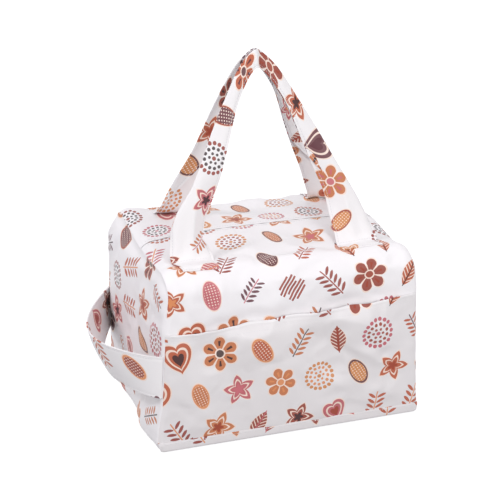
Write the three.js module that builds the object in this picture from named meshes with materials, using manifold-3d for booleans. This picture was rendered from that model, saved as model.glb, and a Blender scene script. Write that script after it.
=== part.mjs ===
// A boxy zip-top fabric bag for nappies, filled out and standing on its base. It has two carry
// handles sewn to its top, a slip pocket across the front and a grab strap on its left end.
// Millimetres. +X is the right end, the pocket faces -Y, +Z is up, and the origin is the middle
// of the base where it meets the floor.
import * as THREE from "three";
import Module from "manifold-3d";

// Driving dimensions of the body
const baseWidth = 360;
const bagDepth = 268;
const bodyHeight = 243;
const topInset = 12;
const edgeRadius = 38;
const topCrown = 3;

// Cloth, lining and the gap between pieces that are sewn or laid together
const clothThickness = 1.6;
const liningThickness = 1;
const seamGap = 0.3;

// Front pocket: its bottom seam and mouth above the floor, its hem, and how far the mouth stands out,
// which grows up the pocket by this power
const pocketBottom = 14;
const pocketTop = 171;
const hemHeight = 12;
const hemThickness = 2.4;
const pocketGape = 8;
const pocketGapePower = 2;

// Straps: one width of folded cloth makes both carry handles and the grab strap
const strapWidth = 57;
const strapThickness = 2.4;
const handleHalfSpacing = 113;
const sewnEndLength = 33;
const liftOffY = 80;
const handleTop = 485;
const frontHandleShift = -7;
const rearHandleShift = 16;
const rearHandleDraw = 11;

// Grab strap on the left end: height of its middle, how far its two edges bow out, and the power
// of the way along it that puts the peak of the bow nearer the front
const grabHeight = 104;
const grabTopBow = 70;
const grabBottomBow = 45;
const grabBowPower = 0.78;

// Zip along the middle of the top
const slotHalfWidth = 1.3;
const coilInset = 0.9;
const coilWidth = 1.7;
const coilHeight = 1.8;
const tapeWidth = 12;
const tapeThickness = 0.8;
const zipEndMargin = 6;
const closedSliderX = 122;
const stopLength = 3;

// Zip slider and its pull tag
const sliderLength = 14;
const sliderWidth = 9;
const cornerShare = 1 / 3;
const plateThickness = 1.3;
const sliderClearance = 0.5;
const neckWidth = 1.2;
const bridgeWidth = 2;
const bridgeBar = 1.2;
const bridgeHalfLength = 3.4;
const pullLength = 28;
const pullWidth = 8;
const pullThickness = 1.2;
const eyeWidth = 3.6;
const eyeLength = 4;
const pullClearance = 0.3;
const nearZero = 0.001;

// Steps of the curved faces
const edgeSteps = 6;
const handleSteps = 32;
const grabSteps = 20;
const pocketSteps = 8;
const cornerSteps = 4;

// Places worked out from the sizes above
const halfDepth = bagDepth / 2;
const edgeY = halfDepth - edgeRadius;
const edgeZ = bodyHeight - edgeRadius;
const behindCloth = clothThickness + seamGap;
const behindLining = behindCloth + liningThickness + seamGap;
const halfWidth = (z) => baseWidth / 2 - (topInset * z) / bodyHeight;
const topZ = (y) => bodyHeight + topCrown * (1 - Math.abs(y) / edgeY);

// Materials, by what each piece is made of
const cloth = (color, roughness) => new THREE.MeshStandardMaterial({ color, roughness, metalness: 0 });
const materials = {
  printedCloth: cloth("#ececef", 0.55),
  strapCloth: cloth("#e6e4e8", 0.6),
  lining: cloth("#f3f3f3", 0.45),
  zipTape: cloth("#efeff0", 0.8),
  zipCoil: cloth("#f6f6f6", 0.35),
  zipMetal: new THREE.MeshStandardMaterial({ color: "#d9d9dc", roughness: 0.3, metalness: 0.9 }),
};

const bag = new THREE.Group();

function addPiece(name, geometry, material) {
  const mesh = new THREE.Mesh(geometry, material);
  mesh.name = name;
  bag.add(mesh);
  return mesh;
}

// A closed solid from points and triangles, turned so that its faces point out.
function solid(points, triangles) {
  let volume = 0;
  for (const [a, b, c] of triangles) {
    const [p, q, r] = [points[a], points[b], points[c]].map((v) => new THREE.Vector3(...v));
    volume += p.dot(q.cross(r));
  }
  const faces = volume > 0 ? triangles : triangles.map(([a, b, c]) => [a, c, b]);
  const geometry = new THREE.BufferGeometry();
  geometry.setAttribute("position", new THREE.Float32BufferAttribute(points.flat(), 3));
  geometry.setIndex(faces.flat());
  return geometry;
}

// A sheet of cloth as a closed solid between two grids of points that match row by row.
function sheet(outer, inner) {
  const rows = outer.length;
  const columns = outer[0].length;
  const points = [...outer.flat(), ...inner.flat()];
  const at = (side, i, j) => side * rows * columns + i * columns + j;
  const triangles = [];
  const quad = (a, b, c, d) => triangles.push([a, b, c], [a, c, d]);
  for (let i = 0; i + 1 < rows; i++) {
    for (let j = 0; j + 1 < columns; j++) {
      quad(at(0, i, j), at(0, i + 1, j), at(0, i + 1, j + 1), at(0, i, j + 1));
      quad(at(1, i, j), at(1, i, j + 1), at(1, i + 1, j + 1), at(1, i + 1, j));
    }
    const last = columns - 1;
    quad(at(0, i, 0), at(1, i, 0), at(1, i + 1, 0), at(0, i + 1, 0));
    quad(at(0, i, last), at(0, i + 1, last), at(1, i + 1, last), at(1, i, last));
  }
  for (let j = 0; j + 1 < columns; j++) {
    const last = rows - 1;
    quad(at(0, 0, j), at(0, 0, j + 1), at(1, 0, j + 1), at(1, 0, j));
    quad(at(0, last, j), at(1, last, j), at(1, last, j + 1), at(0, last, j + 1));
  }
  return solid(points, triangles);
}

// The same piece on the other side of the bag's middle plane, front to back.
function toRear(geometry) {
  const position = geometry.getAttribute("position");
  const points = Array.from({ length: position.count }, (_, i) => [
    position.getX(i),
    -position.getY(i),
    position.getZ(i),
  ]);
  const index = Array.from(geometry.getIndex().array);
  const triangles = [];
  for (let i = 0; i < index.length; i += 3) triangles.push(index.slice(i, i + 3));
  return solid(points, triangles);
}

// Base and upright walls. Each wall tapers with the bag's lean, so its side edges follow halfWidth.
function slab(width, depth, z0, z1) {
  const geometry = new THREE.BoxGeometry(width, depth, z1 - z0);
  return geometry.translate(0, 0, (z0 + z1) / 2);
}

function uprightWall(outerY, thickness, z0, z1, sideInset) {
  const face = (y) => [z0, z1].map((z) => [
    [-halfWidth(z) + sideInset, y, z],
    [halfWidth(z) - sideInset, y, z],
  ]);
  return sheet(face(outerY), face(outerY + thickness));
}

// An end wall: the bag's side outline, inset and leaning in with height.
function endWall(side, inset, thickness, foot) {
  const radius = edgeRadius - inset;
  const outline = new THREE.Shape();
  outline.moveTo(-halfDepth + inset, foot);
  outline.lineTo(-halfDepth + inset, edgeZ);
  outline.absarc(-edgeY, edgeZ, radius, Math.PI, Math.PI / 2, true);
  outline.lineTo(0, topZ(0) - inset);
  outline.lineTo(edgeY, bodyHeight - inset);
  outline.absarc(edgeY, edgeZ, radius, Math.PI / 2, 0, true);
  outline.lineTo(halfDepth - inset, foot);
  outline.closePath();
  const geometry = new THREE.ExtrudeGeometry(outline, {
    depth: thickness,
    bevelEnabled: false,
    curveSegments: edgeSteps,
  });
  const position = geometry.getAttribute("position");
  for (let i = 0; i < position.count; i++) {
    const [y, z, fromOutside] = [position.getX(i), position.getY(i), inset + position.getZ(i)];
    position.setXYZ(i, halfWidth(z) - fromOutside, y, z);
  }
  if (side < 0) {
    geometry.scale(-1, 1, 1);
  } else {
    const array = position.array;
    for (let i = 0; i < array.length; i += 9) {
      for (let k = 0; k < 3; k++) {
        [array[i + 3 + k], array[i + 6 + k]] = [array[i + 6 + k], array[i + 3 + k]];
      }
    }
  }
  return geometry;
}

function buildWalls() {
  const wallTop = edgeZ - seamGap / 2;
  const wall = uprightWall(-halfDepth, clothThickness, behindCloth, wallTop, behindCloth);
  addPiece("base_panel", slab(baseWidth, bagDepth, 0, clothThickness), materials.printedCloth);
  addPiece("front_panel", wall, materials.printedCloth);
  addPiece("back_panel", toRear(wall), materials.printedCloth);
  addPiece("left_end_panel", endWall(-1, 0, clothThickness, behindCloth), materials.printedCloth);
  addPiece("right_end_panel", endWall(1, 0, clothThickness, behindCloth), materials.printedCloth);
}

// Waterproof lining, one sheet behind each wall and on the base.
function buildLining() {
  const floorWidth = 2 * (halfWidth(behindLining) - behindCloth);
  const floorDepth = bagDepth - 2 * behindCloth;
  const floor = slab(floorWidth, floorDepth, behindCloth, behindCloth + liningThickness);
  const lining = uprightWall(
    -halfDepth + behindCloth, liningThickness, behindLining, edgeZ - seamGap / 2, behindLining);
  const end = (side) => endWall(side, behindCloth, liningThickness, behindLining);
  addPiece("base_lining", floor, materials.lining);
  addPiece("front_lining", lining, materials.lining);
  addPiece("back_lining", toRear(lining), materials.lining);
  addPiece("left_end_lining", end(-1), materials.lining);
  addPiece("right_end_lining", end(1), materials.lining);
}

// Slip pocket over the front wall. Its mouth stands out in the middle and is sewn flat at the sides.
function pocketFace(z0, z1, offset) {
  const rows = [];
  for (let i = 0; i <= pocketSteps; i++) {
    const z = z0 + ((z1 - z0) * i) / pocketSteps;
    const opening = ((z - pocketBottom) / (pocketTop - pocketBottom)) ** pocketGapePower;
    const row = [];
    for (let j = 0; j <= pocketSteps; j++) {
      const u = j / pocketSteps;
      const y = -halfDepth - seamGap - offset - pocketGape * opening * Math.sin(Math.PI * u);
      row.push([halfWidth(z) * (2 * u - 1), y, z]);
    }
    rows.push(row);
  }
  return rows;
}

function buildPocket() {
  const hemFoot = pocketTop - hemHeight;
  const panelTop = hemFoot - seamGap;
  const piece = (z0, z1, thickness) => sheet(pocketFace(z0, z1, thickness), pocketFace(z0, z1, 0));
  addPiece("front_pocket", piece(pocketBottom, panelTop, clothThickness), materials.printedCloth);
  addPiece("pocket_hem", piece(hemFoot, pocketTop, hemThickness), materials.printedCloth);
}

// Top halves. Each runs from the fold over the soft edge to the zip, so the front one is a strip
// carried along this outline: an arc from startAngle above the level, then the slope of the top.
function topOutline(startAngle, endY, inset) {
  const outline = [];
  for (let i = 0; i <= edgeSteps; i++) {
    const angle = startAngle + ((Math.PI / 2 - startAngle) * i) / edgeSteps;
    const radius = edgeRadius - inset;
    outline.push([-edgeY - radius * Math.cos(angle), edgeZ + radius * Math.sin(angle)]);
  }
  outline.push([endY, topZ(endY) - inset]);
  return outline;
}

function topStrip(startAngle, endY, inset, thickness, sideInset) {
  const face = (depth) => topOutline(startAngle, endY, depth).map(([y, z]) => [
    [-halfWidth(z) + sideInset, y, z],
    [halfWidth(z) - sideInset, y, z],
  ]);
  return sheet(face(inset), face(inset + thickness));
}

const coilOuter = coilInset + coilWidth;
const tapeInner = coilOuter + seamGap;
const tapeOuter = tapeInner + tapeWidth;
const zipHalfLength = halfWidth(bodyHeight) - behindCloth - zipEndMargin;

function buildTopHalves() {
  const foldAngle = seamGap / edgeRadius;
  const liningEnd = -tapeOuter - seamGap;
  const top = topStrip(foldAngle, -slotHalfWidth, 0, clothThickness, behindCloth);
  const lining = topStrip(foldAngle, liningEnd, behindCloth, liningThickness, behindLining);
  addPiece("front_top_panel", top, materials.printedCloth);
  addPiece("rear_top_panel", toRear(top), materials.printedCloth);
  addPiece("front_top_lining", lining, materials.lining);
  addPiece("rear_top_lining", toRear(lining), materials.lining);
}

// Concealed zip: a tape, a row of coil and a stop hang under the edge of each top half, each a
// strip along the bag that keeps the slope of the top at its own depth below it.
function zipStrip(x0, x1, nearY, farY, height) {
  const face = (y) => [behindCloth, behindCloth + height].map((inset) => [
    [x0, -y, topZ(y) - inset],
    [x1, -y, topZ(y) - inset],
  ]);
  return sheet(face(nearY), face(farY));
}

function buildZip() {
  const stopX = closedSliderX + sliderLength / 2 + seamGap;
  const tape = zipStrip(-zipHalfLength, zipHalfLength, tapeInner, tapeOuter, tapeThickness);
  const coil = zipStrip(-zipHalfLength, stopX - seamGap, coilInset, coilOuter, coilHeight);
  const stop = zipStrip(stopX, stopX + stopLength, coilInset, coilOuter, coilHeight);
  for (const [side, place] of [["front", (g) => g], ["rear", toRear]]) {
    addPiece(`${side}_zip_tape`, place(tape), materials.zipTape);
    addPiece(`${side}_zip_coil`, place(coil), materials.zipCoil);
    addPiece(`${side}_zip_stop`, place(stop), materials.zipMetal);
  }
}

// A strap as a flat band between two edges that match point by point, with its thickness
// laid off from them along a direction.
function strap(edgeA, edgeB, thicknessAt) {
  const face = (shift) => edgeA.map((a, i) => [a, edgeB[i]].map((p) => {
    const t = thicknessAt(i);
    return p.map((value, k) => value + shift * t[k]);
  }));
  return sheet(face(0), face(1));
}

// Sewn end of a carry handle, lying on the front half of the top up to where the strap lifts off.
function sewnEnd(centreX) {
  const arcLength = sewnEndLength - (edgeY - liftOffY);
  const startAngle = Math.PI / 2 - arcLength / edgeRadius;
  const face = (inset) => topOutline(startAngle, -liftOffY - seamGap, inset).map(([y, z]) => [
    [centreX - strapWidth / 2, y, z],
    [centreX + strapWidth / 2, y, z],
  ]);
  return sheet(face(-seamGap - strapThickness), face(-seamGap));
}

// The raised carry handle, from one sewn end up to its peak and down to the other. Its edges are
// given from a sewn end to the peak, as shares of the rise and of each edge's half span: the strap
// is spread flat at its ends, folded in half on its legs and gathered at the peak. The handle's
// feet are off the bag's middle by baseShift, and its legs are drawn in by draw at half the rise.
const outerEdgeShares = [
  [0, 1], [0.1, 0.925], [0.22, 0.83], [0.4, 0.66], [0.6, 0.485], [0.78, 0.315], [0.9, 0.19],
  [0.965, 0.09], [1, 0],
];
const innerEdgeShares = [
  [0, 1], [0.1, 0.955], [0.22, 0.885], [0.37, 0.745], [0.55, 0.565], [0.72, 0.385], [0.83, 0.205],
  [0.885, 0.085], [0.905, 0],
];

function raisedHandle(baseShift, draw) {
  const footZ = topZ(liftOffY) + seamGap + strapThickness + seamGap / 2;
  const rise = handleTop - footZ;
  const peakY = strapThickness + seamGap;
  const lean = Math.atan2(liftOffY - peakY, rise);
  const edge = (shares, halfSpan) => {
    const half = shares.map(([up, out]) => [up, out * (halfSpan - draw * Math.sin(Math.PI * up))]);
    const whole = [...half.map(([up, x]) => [up, -x]), ...half.slice(0, -1).reverse()];
    const points = whole.map(([up, x]) => new THREE.Vector3(
      x + baseShift + (frontHandleShift - baseShift) * up,
      -liftOffY + (liftOffY - peakY) * up,
      footZ + rise * up,
    ));
    const curve = new THREE.CatmullRomCurve3(points, false, "centripetal");
    return Array.from({ length: handleSteps + 1 }, (_, i) => curve.getPoint(i / handleSteps).toArray());
  };
  const outer = edge(outerEdgeShares, handleHalfSpacing + strapWidth / 2);
  const inner = edge(innerEdgeShares, handleHalfSpacing - strapWidth / 2);
  const back = [0, strapThickness * Math.cos(lean), -strapThickness * Math.sin(lean)];
  return strap(outer, inner, () => back);
}

function buildHandles() {
  const ends = [["left", -handleHalfSpacing], ["right", handleHalfSpacing]];
  const sides = [
    ["front", frontHandleShift, 0, (g) => g],
    ["rear", rearHandleShift, rearHandleDraw, toRear],
  ];
  for (const [side, shift, draw, place] of sides) {
    addPiece(`${side}_handle`, place(raisedHandle(shift, draw)), materials.strapCloth);
    for (const [end, x] of ends) {
      addPiece(`${side}_handle_${end}_end`, place(sewnEnd(x + shift)), materials.strapCloth);
    }
  }
}

// Grab strap across the left end, caught in both upright seams. Its edges bow out by a sine of
// their way along the strap.
function buildGrabStrap() {
  const halfRun = halfDepth - clothThickness;
  const bow = (s) => Math.sin(Math.PI * s ** grabBowPower);
  const edge = (z, reach) => Array.from({ length: grabSteps + 1 }, (_, i) => {
    const s = i / grabSteps;
    return [-halfWidth(z) - seamGap - reach * bow(s), halfRun * (2 * s - 1), z];
  });
  const upper = edge(grabHeight + strapWidth / 2, grabTopBow);
  const lower = edge(grabHeight - strapWidth / 2, grabBottomBow);
  const outward = (i) => {
    const [a, b] = [upper[Math.max(i - 1, 0)], upper[Math.min(i + 1, grabSteps)]];
    const along = new THREE.Vector3(...b).sub(new THREE.Vector3(...a));
    const across = new THREE.Vector3(...upper[i]).sub(new THREE.Vector3(...lower[i]));
    return across.cross(along).normalize().multiplyScalar(strapThickness).toArray();
  };
  addPiece("grab_strap", strap(upper, lower, outward), materials.strapCloth);
}

// Zip slider: two plates joined by a neck that runs between the coils, with a bridge for the pull.
const wasm = await Module();
wasm.setup();

function toManifold(geometry) {
  const position = geometry.getAttribute("position");
  const seen = new Map();
  const vertices = [];
  const triVerts = [];
  for (let i = 0; i < position.count; i++) {
    const point = [position.getX(i), position.getY(i), position.getZ(i)];
    const key = point.map((v) => Math.round(v / nearZero)).join();
    if (!seen.has(key)) {
      seen.set(key, vertices.length / 3);
      vertices.push(...point);
    }
    triVerts.push(seen.get(key));
  }
  const mesh = new wasm.Mesh({
    numProp: 3,
    vertProperties: new Float32Array(vertices),
    triVerts: new Uint32Array(triVerts),
  });
  return new wasm.Manifold(mesh);
}

function fromManifold(manifold) {
  const mesh = manifold.getMesh();
  const geometry = new THREE.BufferGeometry();
  geometry.setAttribute("position", new THREE.BufferAttribute(new Float32Array(mesh.vertProperties), 3));
  geometry.setIndex(Array.from(mesh.triVerts));
  return geometry;
}

// A rectangle with round corners as a shape, and the solid made by raising it.
function roundedOutline(x0, x1, width, radius) {
  const outline = new THREE.Shape();
  const y = width / 2;
  outline.moveTo(x0 + radius, -y);
  outline.lineTo(x1 - radius, -y);
  outline.absarc(x1 - radius, -y + radius, radius, -Math.PI / 2, 0, false);
  outline.lineTo(x1, y - radius);
  outline.absarc(x1 - radius, y - radius, radius, 0, Math.PI / 2, false);
  outline.lineTo(x0 + radius, y);
  outline.absarc(x0 + radius, y - radius, radius, Math.PI / 2, Math.PI, false);
  outline.lineTo(x0, -y + radius);
  outline.absarc(x0 + radius, -y + radius, radius, Math.PI, 1.5 * Math.PI, false);
  return outline;
}

function raise(outline, z0, z1) {
  const settings = { depth: z1 - z0, bevelEnabled: false, curveSegments: cornerSteps };
  return new THREE.ExtrudeGeometry(outline, settings).translate(0, 0, z0);
}

const lowerPlateTop = topZ(coilOuter) - behindCloth - coilHeight - sliderClearance;
const upperPlateFoot = topZ(0) + sliderClearance;
const upperPlateTop = upperPlateFoot + plateThickness;
const pullPivotZ = upperPlateTop + pullClearance + pullThickness / 2;

function buildSlider() {
  const half = sliderLength / 2;
  const plate = roundedOutline(-half, half, sliderWidth, sliderWidth * cornerShare);
  const neck = roundedOutline(-half / 2, half / 2, neckWidth, neckWidth * cornerShare);
  const barFoot = pullPivotZ + pullThickness / 2 + pullClearance;
  const post = bridgeHalfLength - bridgeBar;
  const bridge = new THREE.Shape();
  bridge.moveTo(-bridgeHalfLength, 0);
  bridge.lineTo(-post, 0);
  bridge.lineTo(-post, barFoot - upperPlateFoot);
  bridge.lineTo(post, barFoot - upperPlateFoot);
  bridge.lineTo(post, 0);
  bridge.lineTo(bridgeHalfLength, 0);
  bridge.lineTo(bridgeHalfLength, barFoot + bridgeBar - upperPlateFoot);
  bridge.lineTo(-bridgeHalfLength, barFoot + bridgeBar - upperPlateFoot);
  bridge.closePath();
  const arch = new THREE.ExtrudeGeometry(bridge, { depth: bridgeWidth, bevelEnabled: false });
  arch.translate(0, 0, -bridgeWidth / 2).rotateX(Math.PI / 2).translate(0, 0, upperPlateFoot);
  const body = toManifold(raise(plate, lowerPlateTop - plateThickness, lowerPlateTop))
    .add(toManifold(raise(neck, lowerPlateTop - plateThickness, upperPlateTop)))
    .add(toManifold(raise(plate, upperPlateFoot, upperPlateTop)))
    .add(toManifold(arch));
  const slider = addPiece("zip_slider", fromManifold(body), materials.zipMetal);
  slider.position.x = closedSliderX;
}

// Pull tag: a flat tongue whose eye goes round the bridge, so its end bar turns under the arch.
function buildPull() {
  const barHalf = pullThickness / 2;
  const tongue = roundedOutline(-barHalf, pullLength - barHalf, pullWidth, barHalf);
  const eye = new THREE.Path();
  eye.moveTo(barHalf, -eyeWidth / 2);
  eye.lineTo(barHalf, eyeWidth / 2);
  eye.lineTo(barHalf + eyeLength, eyeWidth / 2);
  eye.lineTo(barHalf + eyeLength, -eyeWidth / 2);
  eye.closePath();
  tongue.holes.push(eye);
  const pull = addPiece("zip_pull", raise(tongue, -barHalf, barHalf), materials.zipMetal);
  pull.position.set(closedSliderX, 0, pullPivotZ);
}

buildWalls();
buildLining();
buildPocket();
buildTopHalves();
buildZip();
buildHandles();
buildGrabStrap();
buildSlider();
buildPull();

export default bag;
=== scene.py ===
# A boxy zip-top fabric bag for nappies, filled out and standing on its base. Lengths are in
# millimetres while a shape is worked out, and metres once it is in a mesh.
import bpy
import numpy as np
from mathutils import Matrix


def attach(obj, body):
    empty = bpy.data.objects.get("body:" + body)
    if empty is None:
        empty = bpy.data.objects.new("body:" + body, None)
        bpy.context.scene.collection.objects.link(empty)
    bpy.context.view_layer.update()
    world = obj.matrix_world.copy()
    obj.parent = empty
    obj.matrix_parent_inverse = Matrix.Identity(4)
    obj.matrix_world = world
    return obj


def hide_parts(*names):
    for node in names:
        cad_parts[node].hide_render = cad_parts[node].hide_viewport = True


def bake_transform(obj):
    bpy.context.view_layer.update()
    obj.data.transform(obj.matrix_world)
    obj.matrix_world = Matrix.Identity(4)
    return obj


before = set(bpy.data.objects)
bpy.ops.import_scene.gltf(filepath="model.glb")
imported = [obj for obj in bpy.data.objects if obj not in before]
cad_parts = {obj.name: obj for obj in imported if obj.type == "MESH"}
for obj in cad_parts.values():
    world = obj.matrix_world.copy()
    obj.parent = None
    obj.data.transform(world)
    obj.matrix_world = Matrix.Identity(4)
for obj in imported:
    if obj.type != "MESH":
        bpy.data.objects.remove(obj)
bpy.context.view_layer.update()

# Camera, a pale floor and soft studio light. The key softbox lights the front, one lights the left
# end from above, a weak one hangs overhead, and the floor and sky show white to the camera.
METRE = 0.001
FLOOR_REACH, FLOOR_LEVEL = 6.0, -0.0005
LENS, CAMERA_PLACE, CAMERA_TURN = 100.8, (-0.584, -1.669, 0.883), (69.08, 0, -18.86)
LAMPS = [
    ("key_softbox", (0.25, -2.2, 0.9), (0.0, 0.0, 0.15), 0.7, 17.2, "#FFFFFF"),
    ("overhead_softbox", (0.0, 0.4, 2.3), (0.0, 0.0, 0.2), 1.2, 2.2, "#FFFFFF"),
    ("left_softbox", (-1.7, 0.0, 1.8), (0.0, 0.0, 0.2), 0.7, 14.0, "#FBFAFF"),
]


def node(tree, kind, *inputs, **settings):
    """Adds a node and returns it. kind is its type, with its operation after a space. inputs are
    values, sockets or nodes in socket order, None to leave one alone. settings are its properties."""
    kind, _, operation = kind.partition(" ")
    made = tree.nodes.new("ShaderNode" + kind)
    if operation:
        made.operation = operation
    for name, value in settings.items():
        setattr(made, name, value)
    for socket, value in zip(made.inputs, inputs):
        if isinstance(value, bpy.types.Node):
            value = next(output for output in value.outputs if output.enabled)
        if isinstance(value, bpy.types.NodeSocket):
            tree.links.new(value, socket)
        elif value is not None:
            socket.default_value = value
    return made


def linear(colour):
    """An sRGB hex colour as linear red, green, blue and alpha."""
    parts = np.array([int(colour[i:i + 2], 16) for i in (1, 3, 5)]) / 255
    return (*np.where(parts <= 0.04045, parts / 12.92, ((parts + 0.055) / 1.055) ** 2.4), 1.0)


def new_tree(owner):
    """The owner's node tree, emptied, and its output node."""
    owner.use_nodes = True
    tree = owner.node_tree
    tree.nodes.clear()
    kind = "OutputWorld" if isinstance(owner, bpy.types.World) else "OutputMaterial"
    return tree, tree.nodes.new("ShaderNode" + kind)


def new_object(name, mesh):
    """An object for the mesh, linked into the scene."""
    made = bpy.data.objects.new(name, mesh)
    bpy.context.scene.collection.objects.link(made)
    return made


def seen_by_camera(tree):
    """1 where a ray from the camera, or one mirrored by a gloss, meets the surface, and 0 elsewhere."""
    ray = node(tree, "LightPath")
    return node(tree, "Math MAXIMUM", ray.outputs["Is Camera Ray"], ray.outputs["Is Glossy Ray"])


def set_stage():
    """World, floor, lights and camera."""
    scene = bpy.context.scene
    scene.view_settings.view_transform = "Standard"
    world = bpy.data.worlds.new("studio")
    scene.world = world
    tree, out = new_tree(world)
    soft = node(tree, "Background", linear("#FAF9FB"), 0.75)
    white = node(tree, "Background", linear("#FFFFFF"), 1.0)
    mix = node(tree, "MixShader", seen_by_camera(tree), soft, white)
    tree.links.new(mix.outputs[0], out.inputs[0])

    floor_mesh = bpy.data.meshes.new("floor")
    square = ((-1, -1), (1, -1), (1, 1), (-1, 1))
    corners = [(x * FLOOR_REACH, y * FLOOR_REACH, FLOOR_LEVEL) for x, y in square]
    floor_mesh.from_pydata(corners, [], [(0, 1, 2, 3)])
    paper = bpy.data.materials.new("studio_paper")
    tree, out = new_tree(paper)
    matt = node(tree, "BsdfDiffuse", linear("#ABABAC"))
    glow = node(tree, "Emission", linear("#FFFFFF"), node(tree, "Math MULTIPLY", seen_by_camera(tree), 0.8))
    both = node(tree, "AddShader", matt, glow)
    tree.links.new(both.outputs[0], out.inputs[0])
    floor_mesh.materials.append(paper)
    new_object("floor", floor_mesh)

    for name, place, target, size, power, colour in LAMPS:
        lamp = bpy.data.lights.new(name, "AREA")
        lamp.shape, lamp.size, lamp.energy = "DISK", size, power
        lamp.color = linear(colour)[:3]
        holder = new_object(name, lamp)
        holder.location = place
        aim = np.array(target) - np.array(place)
        flat = np.hypot(aim[0], aim[1])
        holder.rotation_euler = (np.arctan2(flat, -aim[2]), 0, np.arctan2(-aim[0], aim[1]))

    eye = bpy.data.cameras.new("camera")
    eye.lens, eye.sensor_width, eye.clip_end = LENS, 36.0, 50.0
    camera = new_object("camera", eye)
    camera.location = CAMERA_PLACE
    camera.rotation_euler = np.radians(CAMERA_TURN)
    scene.camera = camera


set_stage()

# Printed cloth: white polyester knit with a polyurethane film on its back, printed with flowers,
# leaves, hearts, stars and brush strokes in earth colours. Smooth, with a soft satin sheen.
PRINT_CELL, KNIT_PITCH, INK_COVER = 54.0, 0.24, 0.94
KNIT_WHITE = "#F3F0F2"
HALO = "#F6D9C6"
MAIN_INKS = ["#B5522C", "#913525", "#CE8549", "#BB5863", "#5F2231", "#C27040"]
DETAIL_INKS = ["#551B28", "#DC8E5C", "#33191D", "#C86C76", "#9C3D25"]
# Each step is a result's name, a Math operation, and numbers or the names of earlier results.
CELL_STEPS = """
row FLOOR v
odd FLOORED_MODULO row 2
shift MULTIPLY odd 0.5
across ADD u shift
column FLOOR across
in_x SUBTRACT across column
in_y SUBTRACT v row
"""
PLACE_STEPS = """
move_x MULTIPLY_ADD dice_d 0.10 -0.55
move_y MULTIPLY_ADD dice_e 0.10 -0.55
from_x ADD in_x move_x
from_y ADD in_y move_y
angle MULTIPLY_ADD dice_b 1.5 -0.75
grow MULTIPLY_ADD dice_f 0.22 0.86
"""
POLAR_STEPS = """
ax ABSOLUTE x
ay ABSOLUTE y
xx MULTIPLY x x
yy MULTIPLY y y
rr ADD xx yy
r SQRT rr
a ARCTAN2 y x
"""
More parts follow.
